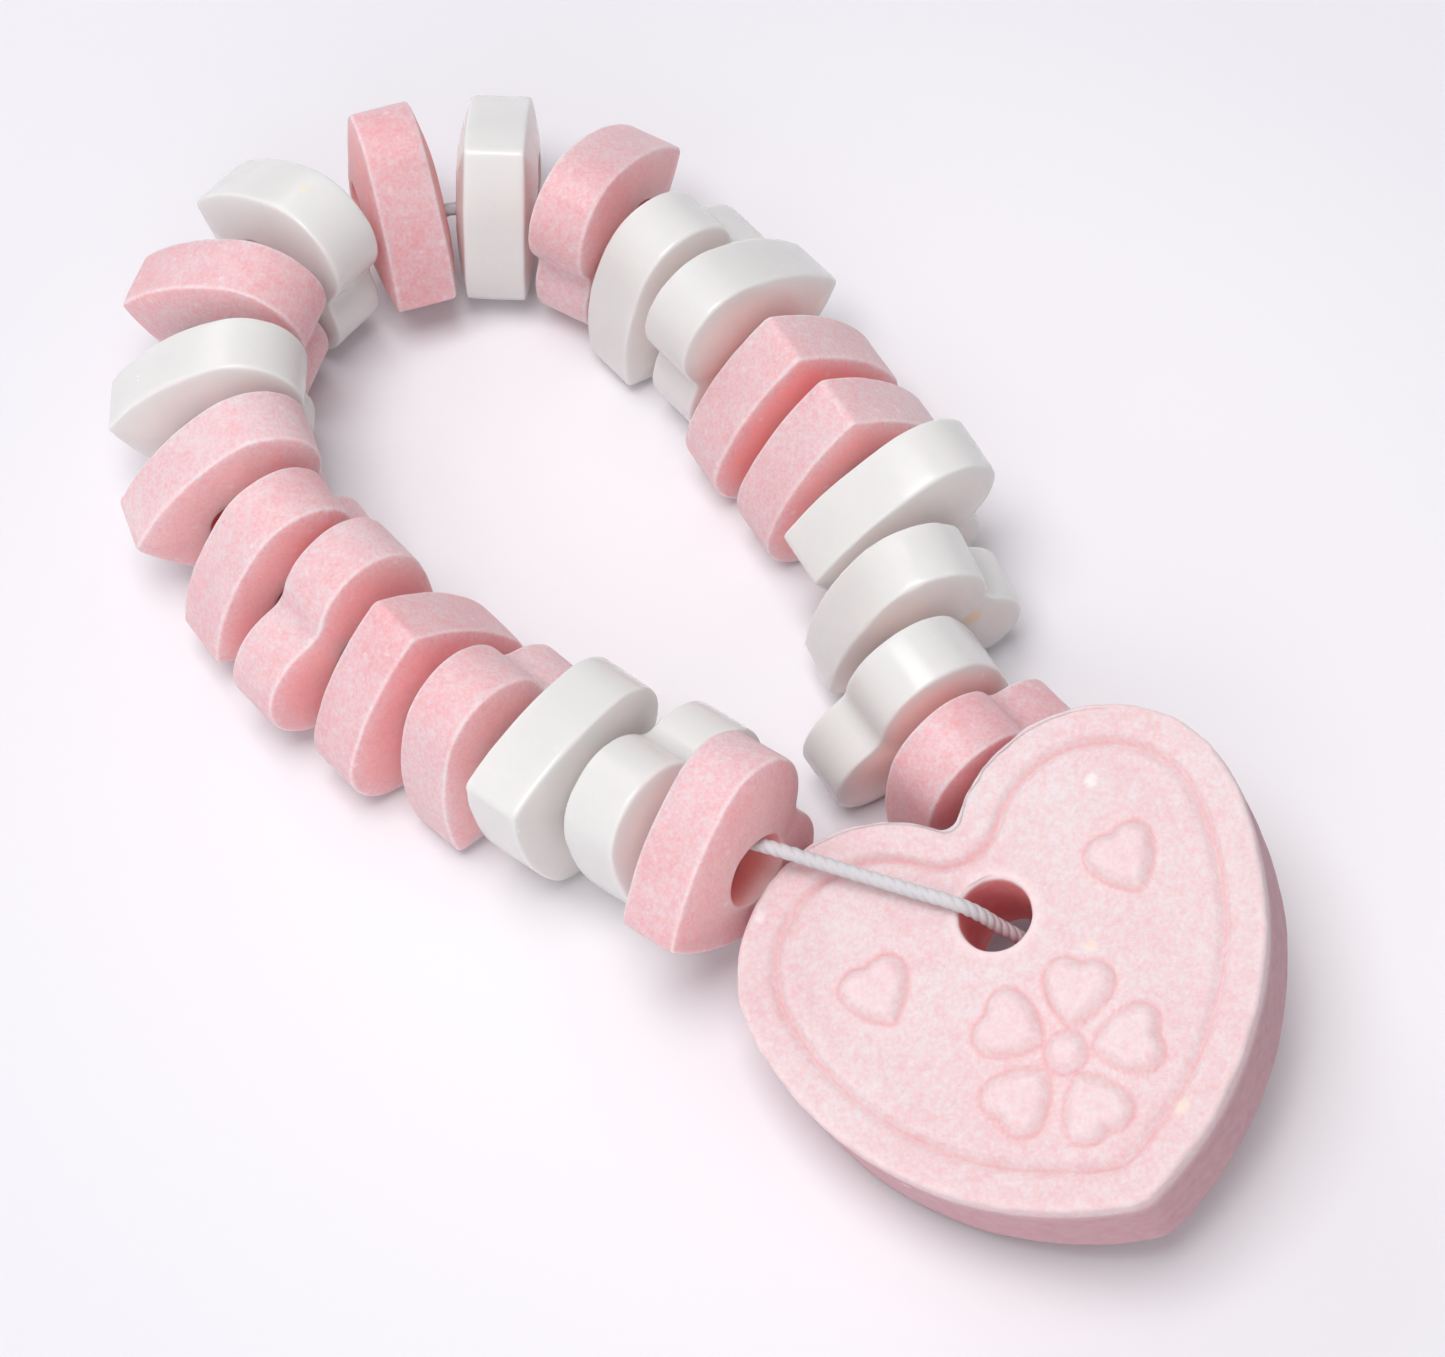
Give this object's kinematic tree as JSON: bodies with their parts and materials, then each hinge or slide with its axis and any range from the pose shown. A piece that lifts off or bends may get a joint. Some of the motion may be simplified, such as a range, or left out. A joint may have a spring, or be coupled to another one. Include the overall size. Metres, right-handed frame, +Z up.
{
  "type": "candy bracelet",
  "caption": "Candy bracelet: heart-shaped pressed-sugar beads in pink and white and a large heart pendant with a raised heart flower, on a white elastic thread.",
  "frame": {"origin": "centre of the object's box in plan, on the plane it lies on", "axes": "+Z up from the table; seen from above, the pendant lies towards +X and -Y, and the loop's far end towards -X and +Y"},
  "size_m": [0.0676, 0.0782, 0.0163],
  "materials": {
    "pink_sugar": "matt pressed sugar, pale pink with a fine lighter and darker grain and whitish worn edges",
    "white_sugar": "smooth satin pressed sugar, warm white",
    "pendant_sugar": "matt pressed sugar, pale pink speckled with white and pink grains, with a soft border groove and a low raised motif",
    "elastic_thread": "white covered elastic, finely ribbed"
  },
  "bodies": {
    "root": {"bead_01": "pink_sugar", "bead_02": "white_sugar", "bead_03": "white_sugar", "bead_04": "pink_sugar", "bead_05": "pink_sugar", "bead_06": "pink_sugar", "bead_07": "pink_sugar", "bead_08": "pink_sugar", "bead_09": "white_sugar", "bead_10": "pink_sugar", "bead_11": "white_sugar", "bead_12": "pink_sugar", "bead_13": "white_sugar", "bead_14": "pink_sugar", "bead_15": "white_sugar", "bead_16": "white_sugar", "bead_17": "pink_sugar", "bead_18": "pink_sugar", "bead_19": "white_sugar", "bead_20": "white_sugar", "bead_21": "white_sugar", "bead_22": "pink_sugar", "pendant": "pendant_sugar", "thread": "elastic_thread"}
  },
  "joints": []
}
